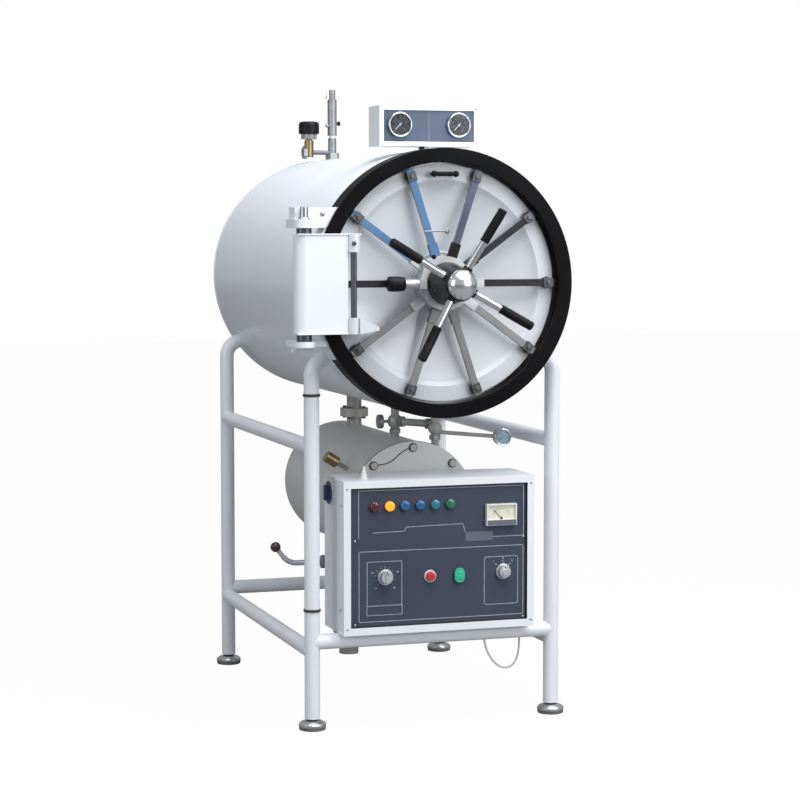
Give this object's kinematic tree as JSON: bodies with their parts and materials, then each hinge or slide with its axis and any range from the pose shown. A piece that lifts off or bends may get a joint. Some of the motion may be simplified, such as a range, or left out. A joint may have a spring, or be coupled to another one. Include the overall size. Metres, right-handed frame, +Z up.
{
  "type": "horizontal autoclave",
  "caption": "Horizontal cylindrical pressure steam steriliser on a tube frame, with a radial-arm locking door and handwheel, control cabinet, separate steam boiler, gauges and valves.",
  "frame": {"origin": "centre of the machine's bounding box, on the floor under the feet", "axes": "+Z up, -Y out of the door's face towards the operator, +X to the right seen from the front"},
  "size_m": [0.8504, 1.452, 1.871],
  "materials": {
    "frame_paint": "satin powder coat",
    "foot_chrome": "polished",
    "foot_rubber": "matte",
    "white_paint": "satin powder coat",
    "wool": "matte mineral wool",
    "stainless": "satin",
    "ring_black": "semi-gloss enamel",
    "door_paint": "satin paint",
    "seal": "matte silicone",
    "dark_steel": "oiled",
    "arm_chrome": "polished",
    "black_enamel": "gloss enamel",
    "black_plastic": "gloss",
    "bright_chrome": "polished",
    "needle_white": "matte",
    "needle_black": "matte",
    "panel_grey": "satin printed sheet",
    "gear_plastic": "matte",
    "lamp_plastic": "gloss",
    "meter_plastic": "gloss",
    "knob_silver": "satin",
    "stop_red": "gloss",
    "start_green": "gloss",
    "switch_blue": "gloss",
    "boiler_paint": "satin aluminium paint",
    "pipe_steel": "satin",
    "lever_plastic": "gloss",
    "brass": "polished",
    "tube_white": "satin"
  },
  "bodies": {
    "machine": {"frame_legs": "frame_paint", "frame_rails": "frame_paint", "foot_domes": "foot_chrome", "foot_pads": "foot_rubber", "barrel_skin": "white_paint", "rear_cover": "white_paint", "insulation": "wool", "pressure_vessel": "stainless", "locking_ring": "ring_black", "chamber_rack": "stainless", "hinge_bracket": "door_paint", "hinge_pin": "dark_steel", "gauge_box": "white_paint", "gauge_bodies": "bright_chrome", "cabinet_case": "white_paint", "cabinet_panel": "panel_grey", "switchgear": "gear_plastic", "indicator_lamps": "lamp_plastic", "panel_meter": "meter_plastic", "boiler_shell": "boiler_paint", "boiler_cover": "boiler_paint", "heater_elements": "dark_steel", "steam_pipework": "pipe_steel", "top_valves": "brass", "hanging_tube": "tube_white"},
    "door": {"door_plate": "door_paint", "door_gasket": "seal", "hub_boss": "door_paint", "arm_guides": "bright_chrome", "lug_rod": "dark_steel", "hinge_arm": "white_paint", "pull_handle": "black_plastic"},
    "handwheel": {"cam_spindle": "pipe_steel", "wheel_drum": "black_enamel", "wheel_rods": "bright_chrome", "wheel_grips": "black_plastic", "wheel_cap": "bright_chrome"},
    "interlock": {"interlock_knob": "black_plastic"},
    "needle_left": {"gauge_needle_left": "needle_white"},
    "needle_right": {"gauge_needle_right": "needle_white"},
    "meter_pointer": {"meter_needle": "needle_black"},
    "timer": {"timer_knob": "knob_silver"},
    "selector": {"selector_knob": "knob_silver"},
    "stop": {"stop_button": "stop_red"},
    "start": {"start_button": "start_green"},
    "switch": {"main_switch": "switch_blue"},
    "steam_knob": {"steam_valve_knob": "dark_steel"},
    "drain": {"drain_lever": "lever_plastic"},
    "safety": {"safety_lever": "bright_chrome"},
    "vent": {"vent_knob": "black_plastic"},
    "arm_1": {"locking_arm_1": "arm_chrome"},
    "arm_2": {"locking_arm_2": "arm_chrome"},
    "arm_3": {"locking_arm_3": "arm_chrome"},
    "arm_4": {"locking_arm_4": "arm_chrome"},
    "arm_5": {"locking_arm_5": "arm_chrome"},
    "arm_6": {"locking_arm_6": "arm_chrome"},
    "arm_7": {"locking_arm_7": "arm_chrome"},
    "arm_8": {"locking_arm_8": "arm_chrome"},
    "arm_9": {"locking_arm_9": "arm_chrome"},
    "arm_10": {"locking_arm_10": "arm_chrome"}
  },
  "joints": [
    {"name": "door_swing", "type": "hinge", "parent": "machine", "child": "door", "pos_m": [-0.39525, -0.576, 1.271], "axis": [0, 0, -1], "range_deg": [0, 115]},
    {"name": "handwheel_turn", "type": "hinge", "parent": "door", "child": "handwheel", "pos_m": [0.02275, -0.604, 1.269], "axis": [0, 1, 0], "range_deg": [0, 72]},
    {"name": "arm_slide_1", "type": "slide", "parent": "door", "child": "arm_1", "axis": [1, 0, 0], "range_m": [0, 0.016]},
    {"name": "arm_slide_2", "type": "slide", "parent": "door", "child": "arm_2", "axis": [0.809, 0, 0.5878], "range_m": [0, 0.016]},
    {"name": "arm_slide_3", "type": "slide", "parent": "door", "child": "arm_3", "axis": [0.309, 0, 0.9511], "range_m": [0, 0.016]},
    {"name": "arm_slide_4", "type": "slide", "parent": "door", "child": "arm_4", "axis": [-0.309, 0, 0.9511], "range_m": [0, 0.016]},
    {"name": "arm_slide_5", "type": "slide", "parent": "door", "child": "arm_5", "axis": [-0.809, 0, 0.5878], "range_m": [0, 0.016]},
    {"name": "arm_slide_6", "type": "slide", "parent": "door", "child": "arm_6", "axis": [-1, 0, 0], "range_m": [0, 0.016]},
    {"name": "arm_slide_7", "type": "slide", "parent": "door", "child": "arm_7", "axis": [-0.809, 0, -0.5878], "range_m": [0, 0.016]},
    {"name": "arm_slide_8", "type": "slide", "parent": "door", "child": "arm_8", "axis": [-0.309, 0, -0.9511], "range_m": [0, 0.016]},
    {"name": "arm_slide_9", "type": "slide", "parent": "door", "child": "arm_9", "axis": [0.309, 0, -0.9511], "range_m": [0, 0.016]},
    {"name": "arm_slide_10", "type": "slide", "parent": "door", "child": "arm_10", "axis": [0.809, 0, -0.5878], "range_m": [0, 0.016]},
    {"name": "interlock_pull", "type": "slide", "parent": "door", "child": "interlock", "axis": [-1, 0, 0], "range_m": [0, 0.012], "stiffness_N_per_m": 600},
    {"name": "needle_left_turn", "type": "hinge", "parent": "machine", "child": "needle_left", "pos_m": [-0.06575, -0.415, 1.718], "axis": [0, 1, 0], "range_deg": [0, 270], "stiffness_Nm_per_rad": 0.0005},
    {"name": "needle_right_turn", "type": "hinge", "parent": "machine", "child": "needle_right", "pos_m": [0.11125, -0.415, 1.718], "axis": [0, 1, 0], "range_deg": [0, 270], "stiffness_Nm_per_rad": 0.0005},
    {"name": "meter_turn", "type": "hinge", "parent": "machine", "child": "meter_pointer", "pos_m": [0.20876, -0.513, 0.5918], "axis": [0, 1, 0], "range_deg": [0, 90], "stiffness_Nm_per_rad": 0.0005},
    {"name": "timer_turn", "type": "hinge", "parent": "machine", "child": "timer", "pos_m": [-0.14026, -0.506, 0.436], "axis": [0, 1, 0], "range_deg": [0, 300]},
    {"name": "selector_turn", "type": "hinge", "parent": "machine", "child": "selector", "pos_m": [0.21681, -0.506, 0.436], "axis": [0, 1, 0], "range_deg": [0, 90]},
    {"name": "stop_press", "type": "slide", "parent": "machine", "child": "stop", "axis": [0, 1, 0], "range_m": [0, 0.004], "stiffness_N_per_m": 300},
    {"name": "start_press", "type": "slide", "parent": "machine", "child": "start", "axis": [0, 1, 0], "range_m": [0, 0.004], "stiffness_N_per_m": 300},
    {"name": "switch_turn", "type": "hinge", "parent": "machine", "child": "switch", "pos_m": [-0.26575, -0.37, 0.667], "axis": [-1, 0, 0], "range_deg": [0, 90]},
    {"name": "steam_valve_turn", "type": "hinge", "parent": "machine", "child": "steam_knob", "pos_m": [0.00875, -0.134, 0.845], "axis": [-1, 0, 0], "range_deg": [0, 720]},
    {"name": "drain_turn", "type": "hinge", "parent": "machine", "child": "drain", "pos_m": [-0.27725, -0.254, 0.449], "axis": [-1, 0, 0], "range_deg": [0, 90]},
    {"name": "safety_lift", "type": "hinge", "parent": "machine", "child": "safety", "pos_m": [0.00625, 0.582, 1.846], "axis": [0, -1, 0], "range_deg": [0, 30], "stiffness_Nm_per_rad": 0.05},
    {"name": "vent_turn", "type": "hinge", "parent": "machine", "child": "vent", "pos_m": [-0.05625, 0.582, 1.71], "axis": [0, 0, 1], "range_deg": [0, 720]}
  ],
  "couplings": [
    {"joint": "arm_slide_1", "follows": "handwheel_turn", "m_per_rad": 0.012732},
    {"joint": "arm_slide_2", "follows": "handwheel_turn", "m_per_rad": 0.012732},
    {"joint": "arm_slide_3", "follows": "handwheel_turn", "m_per_rad": 0.012732},
    {"joint": "arm_slide_4", "follows": "handwheel_turn", "m_per_rad": 0.012732},
    {"joint": "arm_slide_5", "follows": "handwheel_turn", "m_per_rad": 0.012732},
    {"joint": "arm_slide_6", "follows": "handwheel_turn", "m_per_rad": 0.012732},
    {"joint": "arm_slide_7", "follows": "handwheel_turn", "m_per_rad": 0.012732},
    {"joint": "arm_slide_8", "follows": "handwheel_turn", "m_per_rad": 0.012732},
    {"joint": "arm_slide_9", "follows": "handwheel_turn", "m_per_rad": 0.012732},
    {"joint": "arm_slide_10", "follows": "handwheel_turn", "m_per_rad": 0.012732}
  ]
}
